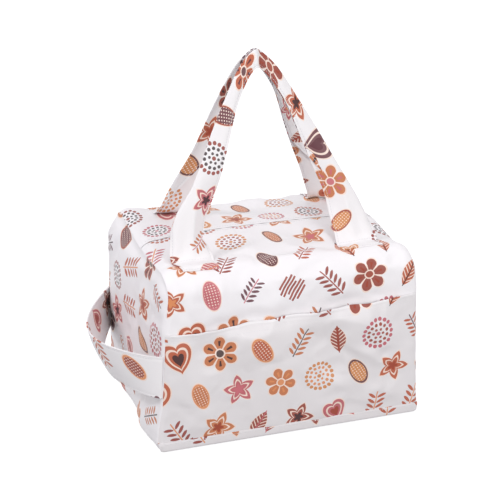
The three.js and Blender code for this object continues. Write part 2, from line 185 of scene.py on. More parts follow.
# The motifs. Each gives a field that reaches 1 at its edge, for the pale halo, and two ink masks.
MOTIFS = {
    "flower with six streaked petals round an eye": """
turns MULTIPLY a 3
wave COSINE turns
petal ABSOLUTE wave
full POWER petal 0.6
rim MULTIPLY_ADD full 0.21 0.21
field DIVIDE r rim
inside LESS_THAN field 1
parted GREATER_THAN petal 0.28
ring GREATER_THAN r 0.125
leafed MULTIPLY inside parted
main MULTIPLY leafed ring
thin GREATER_THAN petal 0.955
off_eye COMPARE r 0.25 0.07
streak MULTIPLY thin off_eye
eye LESS_THAN r 0.09
detail MAXIMUM eye streak
""",
    "burst of dots in rings, the outer ones in the main ink": """
rings DIVIDE r 0.118
ring ROUND rings
count MULTIPLY ring 6
part DIVIDE a 6.2832
turns MULTIPLY part count
share FRACT turns
off SUBTRACT share 0.5
way MULTIPLY r 6.2832
arc MULTIPLY off way
counted MAXIMUM count 1
along DIVIDE arc counted
line MULTIPLY ring 0.118
over SUBTRACT r line
aa MULTIPLY along along
oo MULTIPLY over over
far2 ADD aa oo
far SQRT far2
dot_r MULTIPLY_ADD ring 0.007 0.027
hit LESS_THAN far dot_r
within LESS_THAN r 0.41
dot MULTIPLY hit within
outer GREATER_THAN ring 2.5
heart LESS_THAN r 0.05
outer_dot MULTIPLY dot outer
main MAXIMUM outer_dot heart
inner COMPARE ring 1.5 0.9
detail MULTIPLY dot inner
field ADD r 2
""",
    "leaf with slanting veins and a midrib": """
tall DIVIDE ay 0.41
square MULTIPLY tall tall
edge MULTIPLY_ADD square -0.19 0.19
safe MAXIMUM edge 0.001
raw DIVIDE ax safe
beyond GREATER_THAN ay 0.415
field MULTIPLY_ADD beyond 3 raw
inside LESS_THAN field 1
lean MULTIPLY_ADD ax -0.9 y
veins MULTIPLY lean 9
vein FRACT veins
solid GREATER_THAN vein 0.3
middle LESS_THAN ax 0.03
kept MAXIMUM solid middle
main MULTIPLY inside kept
rib LESS_THAN ax 0.014
long LESS_THAN ay 0.43
detail MULTIPLY rib long
""",
    "heart with a band left out": """
hx DIVIDE ax 0.33
up ADD y 0.06
hy DIVIDE up 0.33
lobe SQRT hx
low MULTIPLY lobe 0.62
hz SUBTRACT hy low
hxx MULTIPLY hx hx
hzz MULTIPLY hz hz
both ADD hxx hzz
field SQRT both
inside LESS_THAN field 1
band COMPARE field 0.69 0.07
main GREATER_THAN inside band
detail LESS_THAN field 0.4
""",
    "star of five points with a band left out": """
turns MULTIPLY_ADD a 0.7958 0.25
saw FRACT turns
even MULTIPLY_ADD saw 2 -1
fold ABSOLUTE even
tip MULTIPLY_ADD fold 0.22 0.18
field DIVIDE r tip
inside LESS_THAN field 1
band COMPARE field 0.67 0.07
main GREATER_THAN inside band
detail LESS_THAN field 0.36
""",
    "pebble with a rim and a grid of dots left out": """
wide DIVIDE ax 0.2
tall DIVIDE ay 0.36
ww MULTIPLY wide wide
tt MULTIPLY tall tall
both ADD ww tt
field SQRT both
nx MULTIPLY x 15
ny MULTIPLY y 15
fx FRACT nx
fy FRACT ny
gx SUBTRACT fx 0.5
gy SUBTRACT fy 0.5
gxx MULTIPLY gx gx
gyy MULTIPLY gy gy
gap ADD gxx gyy
speck LESS_THAN gap 0.058
inside LESS_THAN field 0.84
main GREATER_THAN inside speck
detail COMPARE field 0.92 0.08
""",
    "twig with pairs of leaflets": """
steps MULTIPLY y 7
step ROUND steps
base DIVIDE step 7
from_base SUBTRACT y base
slope MULTIPLY_ADD ax 0.55 -0.06
ly SUBTRACT from_base slope
lx SUBTRACT ax 0.125
wide DIVIDE lx 0.10
tall DIVIDE ly 0.043
ww MULTIPLY wide wide
tt MULTIPLY tall tall
both ADD ww tt
leaflet LESS_THAN both 1
number ABSOLUTE step
five LESS_THAN number 2.5
main MULTIPLY leaflet five
thin LESS_THAN ax 0.016
long LESS_THAN ay 0.41
detail MULTIPLY thin long
field ADD r 2
""",
    "seven brush strokes in two inks": """
columns MULTIPLY x 11
stroke ROUND columns
from_stroke SUBTRACT columns stroke
beside ABSOLUTE from_stroke
thick LESS_THAN beside 0.3
vary MULTIPLY stroke 2.1
wave SINE vary
size ABSOLUTE wave
tall MULTIPLY_ADD size 0.12 0.20
long LESS_THAN ay tall
number ABSOLUTE stroke
seven LESS_THAN number 3.5
short MULTIPLY thick long
bar MULTIPLY short seven
odd FLOORED_MODULO stroke 2
detail MULTIPLY bar odd
main SUBTRACT bar detail
field ADD r 2
""",
}


def print_layers(tree, uv):
    """The print as three masks and two random picks. Each cell of a staggered grid holds one motif,
    drawn from its own x, y, radius r and angle a about the cell's middle."""
    flat = node(tree, "SeparateXYZ", uv)
    values = {"u": flat.outputs[0], "v": flat.outputs[1]}

    def run(steps, known):
        """Adds a Math node for each step, and its name to those known."""
        for line in steps.strip().split("\n"):
            name, operation, *inputs = line.split()
            inputs = [known[i] if i in known else float(i) for i in inputs]
            known[name] = node(tree, "Math " + operation, *inputs)
        return known

    run(CELL_STEPS, values)
    for names, order, seed in (("abc", ("column", "row"), 3.7), ("def", ("row", "column"), 9.1)):
        cell = node(tree, "CombineXYZ", values[order[0]], values[order[1]], seed)
        noise = node(tree, "TexWhiteNoise", cell, noise_dimensions="3D")
        dice = node(tree, "SeparateColor", noise.outputs["Color"])
        values.update({"dice_" + name: dice.outputs[i] for i, name in enumerate(names)})
    run(PLACE_STEPS, values)
    place = node(tree, "CombineXYZ", values["from_x"], values["from_y"], 0.0)
    turned = node(tree, "VectorRotate", place, None, None, values["angle"], rotation_type="Z_AXIS")
    size = node(tree, "CombineXYZ", values["grow"], values["grow"], 1.0)
    local = node(tree, "SeparateXYZ", node(tree, "VectorMath DIVIDE", turned, size))
    polar = run(POLAR_STEPS, {"x": local.outputs[0], "y": local.outputs[1]})
    kind = node(tree, "Math FLOOR", node(tree, "Math MULTIPLY", values["dice_a"], len(MOTIFS) - 0.001))
    halo, main, detail = 0.0, 0.0, 0.0
    for i, steps in enumerate(MOTIFS.values()):
        motif = run(steps, dict(polar))
        chosen = node(tree, "Math COMPARE", kind, float(i), 0.5)
        near = node(tree, "Math LESS_THAN", motif["field"], 1.09)
        halo = node(tree, "Math MULTIPLY_ADD", near, chosen, halo)
        main = node(tree, "Math MULTIPLY_ADD", motif["main"], chosen, main)
        detail = node(tree, "Math MULTIPLY_ADD", motif["detail"], chosen, detail)
    return halo, main, detail, values["dice_c"], values["dice_d"]


def printed_cloth(name, base, roughness):
    """Satin film-backed knit with the print. Its loops are 0.24 mm apart, finer than shows in the render,
    where the cloth looks smooth. Soft dents 15 to 40 mm across break up the sheen."""
    material = bpy.data.materials.new(name)
    tree, out = new_tree(material)
    uv = node(tree, "UVMap", uv_map="cloth")
    halo, main, detail, pick, other_pick = print_layers(tree, uv)
    wash = node(tree, "TexNoise", uv, None, 9.0, 3.0, 0.6)
    ground = node(tree, "MixRGB", node(tree, "Math MULTIPLY", wash, 0.10), linear(base), linear("#DAD8DD"))
    pale = node(tree, "MixRGB", node(tree, "Math MULTIPLY", halo, 0.75), ground, linear(HALO))
    ink = pale
    # Each motif takes one of the inks, which share the random numbers from 0 to 1 equally.
    for mask, dice, inks in ((main, pick, MAIN_INKS), (detail, other_pick, DETAIL_INKS)):
        palette = node(tree, "ValToRGB", dice)
        palette.color_ramp.interpolation = "CONSTANT"
        stops = palette.color_ramp.elements
        while len(stops) < len(inks):
            stops.new(0.5)
        for i, colour in enumerate(inks):
            stops[i].position = i / len(inks)
            stops[i].color = linear(colour)
        cover = node(tree, "Math MULTIPLY", mask, INK_COVER)
        ink = node(tree, "MixRGB", cover, ink, palette)
    loops = node(tree, "TexVoronoi", uv, None, PRINT_CELL / KNIT_PITCH)
    dents = node(tree, "TexNoise", uv, None, 2.2, 4.0, 0.55)
    knit = node(tree, "Bump", 0.15, 0.0002, None, loops)
    dent = node(tree, "Bump", 0.25, 0.002, None, dents, knit)
    shader = node(tree, "BsdfPrincipled", ink, None, roughness, 1.45, None, dent)
    shader.inputs["Sheen Weight"].default_value = 0.12
    tree.links.new(shader.outputs[0], out.inputs[0])
    return material


body_cloth = printed_cloth("printed_film_backed_knit", KNIT_WHITE, 0.48)


# The shape of the filled bag. Each half of its wall and top is one length of cloth: up the wall,
# over a soft edge and across the top to the zip. s is the way along it from the floor.
BASE_WIDTH, DEPTH, HEIGHT, LEAN_IN, EDGE_RADIUS, CROWN = 360.0, 268.0, 243.0, 12.0, 38.0, 3.0
EDGE_Y, EDGE_Z = DEPTH / 2 - EDGE_RADIUS, HEIGHT - EDGE_RADIUS
TOP_S = EDGE_Z + EDGE_RADIUS * np.pi / 2
ZIP_S = TOP_S + EDGE_Y
ZIP_STITCH = 6.2
# The pocket's mouth, where it pulls the wall in: its height at places across the front.
MOUTH_X = [-170, -148, -115, -60, 0, 60, 120, 170]
MOUTH_Z = [163.5, 161, 162, 166, 169, 171, 173.5, 175.5]
# Folds of the front and rear cloth: start and end in x and s, width and height.
FOLDS = {
    -1: [((-140, 178), (-128, 232), 7, 2.4), ((-118, 176), (-112, 226), 6, -2.0),
         ((-100, 174), (-92, 238), 7, 1.8), ((150, 190), (118, 252), 9, 2.2),
         ((96, 245), (20, 300), 9, -1.8), ((-70, 270), (0, 320), 10, 1.8),
         ((160, 300), (60, 345), 9, 2.0), ((-160, 300), (-60, 340), 9, -1.8)],
    1: [((-150, 250), (-60, 330), 10, 2.2), ((150, 240), (70, 320), 9, 2.0),
        ((-40, 60), (60, 190), 12, 2.2), ((120, 40), (60, 160), 10, -2.0),
        ((-150, 200), (-70, 110), 11, 2.0), ((140, 215), (70, 250), 9, 1.6)],
}
# Height of the end seams over the plain outline, by how far back they are, at the left and right.
SEAM_Y = np.array([-134.0, -100, -75, -40, 0, 40, 80, 116, 134])
SEAM_RISE = {
    -1: np.array([-2.0, -4, -6, -9, -10, -5, 3, 10, 8]),
    1: np.array([-1.0, -7, -12, -10, -6, -7, -8, -6, -3]),
}


def half_width(z):
    """Half the plain outline's width at height z: the ends lean in a little."""
    return BASE_WIDTH / 2 - LEAN_IN * z / HEIGHT


def smooth(t):
    """0 below 0 and 1 above 1, with a soft S between."""
    t = np.clip(t, 0, 1)
    return t * t * (3 - 2 * t)


def bell(x, middle, width):
    """1 at the middle, falling off smoothly to both sides: e to the minus square of the distance."""
    return np.exp(-((x - middle) / width) ** 2)


def unit(v):
    """The vectors, each made 1 long."""
    return v / np.maximum(np.linalg.norm(v, axis=-1, keepdims=True), 1e-9)


def distance_along(path):
    """How far along the path each of its points lies."""
    return np.concatenate([[0], np.cumsum(np.linalg.norm(np.diff(path, axis=0), axis=1))])


def at_distance(where, way, values):
    """The values, given at the distances way along a path, at the distances where."""
    return np.stack([np.interp(where, way, values[:, axis]) for axis in range(values.shape[1])], -1)


def through(x, xs, ys):
    """A smooth curve through the points xs, ys: a cubic in each span, with the mean of the
    neighbouring slopes at its ends."""
    xs, ys = np.asarray(xs, float), np.asarray(ys, float)
    slope = np.gradient(ys, xs)
    i = np.clip(np.searchsorted(xs, x) - 1, 0, len(xs) - 2)
    h = xs[i + 1] - xs[i]
    t = np.clip((x - xs[i]) / h, 0, 1)
    return (ys[i] * (1 + 2 * t) * (1 - t) ** 2 + ys[i + 1] * t * t * (3 - 2 * t)
            + h * (slope[i] * t * (1 - t) ** 2 - slope[i + 1] * t * t * (1 - t)))


# How far each upright seam bows out of line, by its end and side, at heights from floor to top.
SEAM_LEVELS = [0.0, 8.0, 22.0, 60.0, 110.0, 170.0, 212.0, 243.0]
SEAM_BOW = {
    (-1, -1): [1.0, 5.5, 5.5, 1.5, 0.0, 0.5, 0.5, 3.5], (-1, 1): [0.0, 1.0, 1.5, 3.5, 5.5, 7.5, 10.0, 3.5],
    (1, -1): [0.0, 1.0, 1.0, 0.5, 0.5, 2.5, 5.0, 3.5], (1, 1): [0.0, 1.0, 1.5, 2.0, 4.0, 5.0, 5.0, 3.5],
}


def seam_tuck(z):
    """How far the end seams lie in from both faces: the middle of a rounding that grows from a
    radius of 6 mm low down to 20 mm at the top."""
    return 1.8 + 4.1 * smooth((z - 150) / 75)


def seam_half(z, end, side):
    """How far out the end seam lies at height z: the lean of the ends, less the tuck, plus its bow
    and a slight pucker."""
    low = np.minimum(z, HEIGHT)
    bow = through(z, SEAM_LEVELS, SEAM_BOW[end, side])
    pucker = 0.35 * np.sin(z / 5.3 + side) * np.sin(z / 31 + end) * (1 - smooth((z - 190) / 30))
    return half_width(low) - seam_tuck(z) + bow + pucker


def both_seams(x, z, side):
    """How far out the end seam on x's own side lies at height z."""
    return np.where(x < 0, seam_half(z, -1, side), seam_half(z, 1, side))


def rounding(near, z):
    """How far a face sinks as it nears an end seam: a circle's arc whose middle is the seam."""
    tuck = seam_tuck(z)
    radius = tuck / (1 - np.sqrt(0.5))
    left = np.clip(radius - tuck - near, 0, radius)
    return radius - np.sqrt(radius ** 2 - left ** 2)


def puckers(along, near, height, phase):
    """Short ripples across a seam that fade within 30 mm of it."""
    return height * (np.sin(along / 3.6 + phase) + 0.8 * np.sin(along / 6.1 + 2 * phase)) * bell(near, 0, 13)


def crumple(p, q, size, seed):
    """Soft dents with ridges between them: seeded random heights on a square grid of the given size,
    joined smoothly, plus the same again folded at zero."""
    heights = np.random.default_rng(seed).uniform(-1, 1, (64, 64))
    p, q = np.broadcast_arrays(p, q)
    a = p / size + 25 + 0.35 * np.sin(q / size * 1.3 + seed)
    b = q / size + 25 + 0.35 * np.sin(p / size * 1.1 + 2 * seed)
    i, j = np.floor(a).astype(int), np.floor(b).astype(int)
    s, t = smooth(a - i), smooth(b - j)
    near, far = [heights[i % 64, k % 64] * (1 - s) + heights[(i + 1) % 64, k % 64] * s for k in (j, j + 1)]
    value = near * (1 - t) + far * t
    return 0.6 * value + 0.5 - 1.1 * np.sqrt(value ** 2 + 0.01)


def ripple(p, q, waves):
    """Sum of slow waves: each wave is a height, a length along p and along q, and a phase."""
    return sum(h * np.sin(2 * np.pi * (p / a + q / b) + c) for h, a, b, c in waves)


def crease(p, q, start, end, width, height):
    """A soft fold from start to end in p and q: a bell across the line, fading to its ends."""
    (p0, q0), (p1, q1) = start, end
    length = np.hypot(p1 - p0, q1 - q0)
    along = ((p - p0) * (p1 - p0) + (q - q0) * (q1 - q0)) / length ** 2
    off = ((p - p0) * (q1 - q0) - (q - q0) * (p1 - p0)) / length
    return height * bell(off, 0, width) * np.sin(np.pi * np.clip(along, 0, 1)) ** 0.7


def outline(s):
    """How far out from the middle plane and how high the plain outline is at s, then its normal's
    two parts: wall, turn of radius EDGE_RADIUS, and a top that rises by CROWN to the zip."""
    turn = np.clip((s - EDGE_Z) / EDGE_RADIUS, 0, np.pi / 2)
    over = np.maximum(s - TOP_S, 0)
    out = EDGE_Y + EDGE_RADIUS * np.cos(turn) - over
    z = np.minimum(s, EDGE_Z) + EDGE_RADIUS * np.sin(turn) + CROWN * over / EDGE_Y
    return out, z, np.cos(turn), np.sin(turn)


def mouth_z(x):
    """Height of the pocket's mouth: level on the left, rising to the right, with slow waves."""
    level = through(x, MOUTH_X, MOUTH_Z)
    return level + 0.8 * np.sin(x / 27.0) + 0.5 * np.sin(x / 11.0 + 2)


def wrap(x, s, side):
    """The cloth of the front (side -1) or rear (side 1) at x and s: the plain outline, lifted and
    sunk by the end seams, then pushed along its normal. The push is a bulge on the wall, a dip of the
    top, waves and folds, a roll inwards at the end seams, and a lip with a row of stitching by the zip."""
    out, z, n_out, n_z = outline(s)
    hw = both_seams(x, z, side)
    u = np.clip(x / hw, -1, 1)
    on_top = smooth((s - EDGE_Z) / (0.7 * EDGE_RADIUS * np.pi / 2))
    left, right = [through(side * out, SEAM_Y, SEAM_RISE[end]) for end in (-1, 1)]
    rise = np.where(u < 0, left, right) * np.abs(u) ** 3.2 * on_top
    inner = 1 - np.abs(u) ** 6
    wall = np.sin(np.pi * np.clip(s / (EDGE_Z + 30), 0, 1))
    bulge = 5.0 * wall * inner
    shoulder = smooth((s - 150) / 60) * (1 - smooth((s - TOP_S) / 60))
    if side < 0:
        groove = 0.8 * bell(x, -75, 50) + 0.8 * bell(x, 90, 60) + 0.35
        bulge = (bulge - 6.0 * shoulder * inner
                 - 6.5 * bell(s - mouth_z(x), 2, 12) * groove * (1 - np.abs(u) ** 4))
    to_zip = np.clip((s - TOP_S + 10) / (EDGE_Y + 6), 0, 1)
    dip = (-3.5 if side < 0 else -2.0) * np.sin(np.pi * to_zip) * inner
    waves = ripple(x, s, [(0.9, 150, 210, 0.4 + side), (0.7, -95, 120, 2.1), (0.5, 60, -170, side * 1.3)])
    waves = waves + 2.6 * crumple(x, s, 46, 5 + side) + 1.5 * crumple(x, s, 21, 8 + side)
    folds = sum(crease(x, s, *fold) for fold in FOLDS[side])
    near = (1 - np.abs(u)) * hw
    edge = np.clip(near / 9, 0, 1) ** 2
    calm = smooth((ZIP_S - s) / 32) * smooth(s / 30)
    push = (bulge + dip * n_z + (waves + folds) * inner * edge * calm - rounding(near, z)
            + puckers(s, near, 0.45, side + 0.4) * edge)
    lip = -1.2 * np.clip((s - ZIP_S + 7) / 7, 0, 1) ** 3 - 0.4 * bell(ZIP_S - s, ZIP_STITCH, 1.2)
    gather = 0.25 * np.sin(x / 2.9) * np.sin(x / 17 + side) * bell(ZIP_S - s, 0, 8)
    push = push + lip + gather
    return np.stack([x + 0 * push, side * (out + n_out * push), z + rise + n_z * push], -1)


def facing(x, s, side):
    """Places on the front or rear cloth, and its normals there."""
    step = 0.5
    dx = wrap(x + step, s, side) - wrap(x - step, s, side)
    ds = wrap(x, s + step, side) - wrap(x, s - step, side)
    return wrap(x, s, side), unit(np.cross(dx, ds) * -side)


def grid_normal(grid):
    """The normals of a sheet of points, from its neighbouring rows and columns."""
    down, across = np.gradient(grid, axis=0), np.gradient(grid, axis=1)
    return unit(np.cross(across, down))


def smooth_object(name, points, faces, materials):
    """An object with smooth shading, made of points in millimetres and lists of their numbers."""
    mesh = bpy.data.meshes.new(name)
    mesh.from_pydata((points.reshape(-1, 3) * METRE).tolist(), [], faces)
    for material in materials:
        mesh.materials.append(material)
    mesh.shade_smooth()
    return new_object(name, mesh)


def cloth_mesh(name, grid, uv, thickness, materials, backing=None):
    """A closed sheet of cloth. grid is rows by columns of points on its face, and uv the same places on
    the flat cloth. The back lies behind it by thickness, or where backing says. The last material is
    the back's."""
    back = grid - thickness * grid_normal(grid) if backing is None else backing
    half = grid[..., 0].size
    index = np.arange(half).reshape(grid.shape[:2])
    a, b, c, d = index[:-1, :-1], index[:-1, 1:], index[1:, 1:], index[1:, :-1]
    face = np.stack([a, b, c, d], -1).reshape(-1, 4)
    behind = face[:, ::-1] + half
    loop = np.concatenate([index[0, :], index[1:, -1], index[-1, -2::-1], index[-2:0:-1, 0]])
    after = np.roll(loop, -1)
    rim = np.stack([after, loop, loop + half, after + half], -1)
    faces = np.concatenate([face, behind, rim])
    piece = smooth_object(name, np.stack([grid, back]), faces.tolist(), materials)
    mesh = piece.data
    mesh.uv_layers.new(name="cloth")
    flat = np.tile(uv.reshape(-1, 2), (2, 1)) / PRINT_CELL
    mesh.uv_layers["cloth"].uv.foreach_set("vector", flat[faces.ravel()].ravel())
    kinds = np.zeros(len(faces), np.int32)
    kinds[len(face):2 * len(face)] = len(materials) - 1
    mesh.polygons.foreach_set("material_index", kinds)
    ends = np.zeros(2 * len(mesh.edges), np.int32)
    mesh.edges.foreach_get("vertices", ends)
    on_rim = np.zeros(2 * half, bool)
    on_rim[loop], on_rim[loop + half] = True, True
    pairs = ends.reshape(-1, 2)
    same_side = (pairs[:, 0] < half) == (pairs[:, 1] < half)
    sharp = on_rim[pairs].all(1) & same_side
    mesh.attributes.new("sharp_edge", "BOOLEAN", "EDGE").data.foreach_set("value", sharp)
    mesh.validate()
    return piece


# Front and rear cloth: wall and top half in one length each, sewn to the ends. Each is made in
# three parts: the middle, and a narrow part by each end seam.
CLOTH, LIP_GAP, FLAP_X, PRINT_SHIFT = 1.6, 0.8, 146.0, 17.0
LINING, LINING_GAP, TAPE_REACH = 1.0, 0.4, 15.2
SIDE_NAME = {-1: "front", 1: "rear"}


def part_x(part, s, columns, side):
    """x of a part's columns for every s: the middle, or from it out to the left or right seam, closer
    together towards the seam."""
    t = np.linspace(0, 1, columns)[None, :]
    if part == 0:
        return -FLAP_X + 2 * FLAP_X * t + 0 * s[:, None]
    out, z, _, _ = outline(s)
    seam = seam_half(z, part, side)[:, None]
    t = 1 - (1 - t) ** 1.3
    x = FLAP_X + (seam - FLAP_X) * t
    return x if part > 0 else -x[:, ::-1]


def bend_with_top(piece):
    """Bakes the piece's place into its mesh."""
    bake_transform(piece)


def wrapped_pieces(name, side, s, depth, thickness, materials, nodes, middle_columns=121):
    """The three parts of one layer of cloth on the front or rear, at a depth below the face."""
    for part, word, columns in ((0, "middle", middle_columns), (-1, "left", 17), (1, "right", 17)):
        x = part_x(part, s, columns, side)
        if side > 0:
            x = x[:, ::-1]
        along = s[:, None] + 0 * x
        face, normal = facing(x, along, side)
        uv = np.stack([x * -side, along + PRINT_SHIFT * side], -1)
        piece = cloth_mesh(f"{name}_{word}", face - depth * normal, uv, thickness, materials,
                           face - (depth + thickness) * normal)
        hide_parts(*nodes)
        bend_with_top(piece)


def simple_material(name, colour, roughness, grain, depth,
                    other="#B9B9BC", share=0.25, detail=3.0, on_cloth=False):
    """A plain finish whose grain tints it towards the other colour by up to the share, and dents it by
    the depth. The grain counts to the metre or, on cloth, to the print's cell."""
    material = bpy.data.materials.new(name)
    tree, out = new_tree(material)
    place = node(tree, "UVMap", uv_map="cloth") if on_cloth else node(tree, "TexCoord").outputs["Object"]
    noise = node(tree, "TexNoise", place, None, grain, detail, 0.6)
    tint = node(tree, "MixRGB", node(tree, "Math MULTIPLY", noise, share), linear(colour), linear(other))
    bump = node(tree, "Bump", 0.3, depth, None, noise)
    shader = node(tree, "BsdfPrincipled", tint, None, roughness, None, None, bump)
    tree.links.new(shader.outputs[0], out.inputs[0])
    return material


# Lockstitches of spun polyester thread, matt and a shade darker than the cloth. Each lies on the cloth
# for most of its pitch, and dips into it before the next.
thread = simple_material("spun_polyester_thread", "#E3E1E4", 0.7, 2500.0, 0.0001)
STITCH_PITCH, STITCH_LONG, THREAD_HALF = 3.6, 2.7, 0.3


def stitches(name, rows):
    """Stitches along rows, each a path with the cloth's normal at every point. A stitch is a length of
    thread with four sides that rises out of the cloth, lies on it and dips in again."""
    points, faces, count = [], [], 0
    corner = np.radians([0, 90, 180, 270])[:, None]
    k, i = np.meshgrid(np.arange(3), np.arange(4), indexing="ij")
    around = (i + 1) % 4
    side_faces = np.stack([4 * k + i, 4 * k + 4 + i, 4 * k + 4 + around, 4 * k + around], -1).reshape(-1, 4)
    one = np.concatenate([side_faces, [[0, 1, 2, 3], [15, 14, 13, 12]]])
    for path, normal in rows:
        way = distance_along(path)
        number = int(way[-1] / STITCH_PITCH)
        middle = (np.arange(number) + 0.5) * way[-1] / number
        along = middle[:, None] + np.array([-0.5, -0.3, 0.3, 0.5]) * STITCH_LONG
        out = unit(at_distance(along, way, normal))
        place = at_distance(along, way, path)
        beside = np.cross(unit(place[:, -1:] - place[:, :1]), out)
        place = place + out * np.array([-0.3, 0.12, 0.12, -0.3])[:, None]
        spread = np.cos(corner) * beside[:, :, None] + np.sin(corner) * out[:, :, None]
        points.append((place[:, :, None] + THREAD_HALF * spread).reshape(-1, 3))
        faces.append((one[None] + 16 * np.arange(number)[:, None, None]).reshape(-1, 4) + count)
        count += 16 * number
    piece = smooth_object(name, np.concatenate(points), np.concatenate(faces).tolist(), [thread])
    return piece


# The lining is plain white polyester coated with polyurethane: smooth, with a slight sheen and soft
# dents. It lies just behind the printed cloth and is sewn into the same seams.
plain_lining = simple_material("coated_white_lining", "#F2F2F0", 0.38, 3.0, 0.002,
                               "#E4E4E3", 1.0, 4.0, on_cloth=True)
face_s = np.concatenate([np.linspace(3, EDGE_Z, 60), np.linspace(EDGE_Z, ZIP_S - LIP_GAP - 8, 50)[1:],
                         np.linspace(ZIP_S - LIP_GAP - 8, ZIP_S - LIP_GAP, 9)[1:]])
wrapped_pieces("front_cloth", -1, face_s, 0, CLOTH, [body_cloth],
               ["front_panel", "front_top_panel"])
wrapped_pieces("rear_cloth", 1, face_s, 0, CLOTH, [body_cloth],
               ["back_panel", "rear_top_panel"])
lining_s = np.linspace(4, ZIP_S - TAPE_REACH, 70)
wrapped_pieces("front_wall_lining", -1, lining_s, CLOTH + LINING_GAP, LINING, [plain_lining],
               ["front_lining", "front_top_lining"], 61)
wrapped_pieces("rear_wall_lining", 1, lining_s, CLOTH + LINING_GAP, LINING, [plain_lining],
               ["back_lining", "rear_top_lining"], 61)


# Stitches along the zip: one row down each side, through the turned edge of the top and the tape
# under it, clear of the slider.
for side in (-1, 1):
    reach = seam_half(HEIGHT, -1, side) - 7
    stretches = ((0, "middle", -FLAP_X, FLAP_X), (-1, "left", -reach, -FLAP_X), (1, "right", FLAP_X, reach))
    for part, word, low, high in stretches:
        x = np.linspace(low, high, 200)
        row = stitches(f"{SIDE_NAME[side]}_zip_stitches_{word}",
                       [facing(x, ZIP_S - ZIP_STITCH + 0 * x, side)])
        bend_with_top(row)


# End panels and their lining: one panel of printed cloth each, sewn to the front, top and rear
# all the way round, and bellied out a little by what the bag holds. Their folds run from y and z.
END_FOLDS = [
    ((-118, 236), (-60, 150), 9, 2.4), ((110, 235), (60, 150), 10, 2.2), ((-40, 240), (-20, 150), 8, -1.8),
    ((40, 240), (20, 160), 8, 1.7), ((-110, 30), (-40, 90), 11, 2.0), ((100, 40), (30, 100), 10, -1.6),
]


def end_grid(side, depth, rows=70):
    """The end panel, or its lining at a depth behind it. A column runs from the floor up to each place
    on the end seam, and the first and last follow the walls' own seams. The panel bellies out in its
    middle and rolls in by the seam."""
    arc = np.concatenate([np.linspace(EDGE_Z, TOP_S, 16), np.linspace(TOP_S, ZIP_S, 26)[1:]])
    _, plain_z, _, _ = outline(arc)
    front = wrap(side * seam_half(plain_z, side, -1), arc, -1)
    rear = wrap(side * seam_half(plain_z, side, 1), arc, 1)
    top = np.concatenate([front, rear[-2::-1]])
    plain_top = np.concatenate([plain_z, plain_z[-2::-1]])
    v = np.linspace(0.004, 1, rows)[:, None]
    y, z = top[:, 1] + 0 * v, top[:, 2] * v
    plain = plain_top * v
    for edge, column in ((-1, 0), (1, -1)):
        seam = wrap(side * seam_half(plain[:, column], side, edge), plain[:, column], edge)
        near = np.clip((edge * top[:, 1] - 50) / (edge * top[column, 1] - 50), 0, 1) ** 2
        y = y + (seam[:, 1] - top[column, 1])[:, None] * near
    # How far each point lies in from the edge of the plain outline, a box with two round corners.
    qy, qz = np.abs(y) - EDGE_Y, plain - EDGE_Z
    edge = EDGE_RADIUS - np.hypot(np.maximum(qy, 0), np.maximum(qz, 0)) - np.minimum(np.maximum(qy, qz), 0)
    near = np.maximum(edge - seam_tuck(plain), 0)
    inner = np.clip(near / 40, 0, 1) ** 0.7
    belly = 4.0 * np.sin(np.pi * np.clip(z / 245, 0, 1)) + 2.0 * bell(y, 60, 60) * bell(z, 120, 70)
    waves = ripple(y, z, [(0.9, 130, 170, side * 0.9), (0.6, -70, 110, 1.7 + side)])
    waves = waves + 3.2 * crumple(y, z, 42, 14 + side) + 1.5 * crumple(y, z, 20, 17 + side)
    folds = sum(crease(y, z, *fold) for fold in END_FOLDS)
    to_rear = smooth((y + EDGE_Y) / (2 * EDGE_Y))
    seam = (1 - to_rear) * seam_half(plain, side, -1) + to_rear * seam_half(plain, side, 1)
    x = (seam + seam_tuck(plain) - rounding(near, plain) + inner * (belly + waves + folds)
         + puckers(z, near, 0.5, side) * np.clip(near / 9, 0, 1) ** 2 - depth)
    x = x - 2.2 * (1 - np.clip(z / 9, 0, 1)) ** 2
    x = x + 3.0 * bell(y, -85, 55) * bell(z, 16, 20) * np.clip(near / 20, 0, 1)
    grid = np.stack([side * x, y, z], -1)
    uv = np.stack([z + 12 * side, y * side + 31], -1)
    return (grid, uv) if side > 0 else (grid[:, ::-1], uv[:, ::-1])


for end, word in ((-1, "left"), (1, "right")):
    grid, uv = end_grid(end, 0)
    panel = cloth_mesh(f"{word}_end_cloth", grid, uv, CLOTH, [body_cloth])
    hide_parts(f"{word}_end_panel")
    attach(panel, "bag")
    grid, uv = end_grid(end, CLOTH + LINING_GAP, 40)
    inside = cloth_mesh(f"{word}_end_lining_cloth", grid, uv, LINING, [plain_lining])
    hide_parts(f"{word}_end_lining")
    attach(inside, "bag")


# Base: one piece of the printed cloth whose front and rear edges turn up 14 mm and take in the walls
# and the pocket's foot. It is a single layer here, thinner than the lined walls, and drawn in a greyer
# copy of the printed cloth: partly for its thinness, partly as painted shade. A plain lining lies on it.
thin_and_shaded_cloth = printed_cloth("printed_knit_single_layer_and_painted_shade", "#E6E2E3", 0.5)
BASE_CLOTH, RIM_HEIGHT, RIM_OUT, RIM_BEND, BASE_PRINT = 1.2, 14.0, 137.2, 3.5, 286.0
FLOOR_HALF_X, FLOOR_HALF_Y, FLOOR_Z = 174.0, 129.0, 2.9


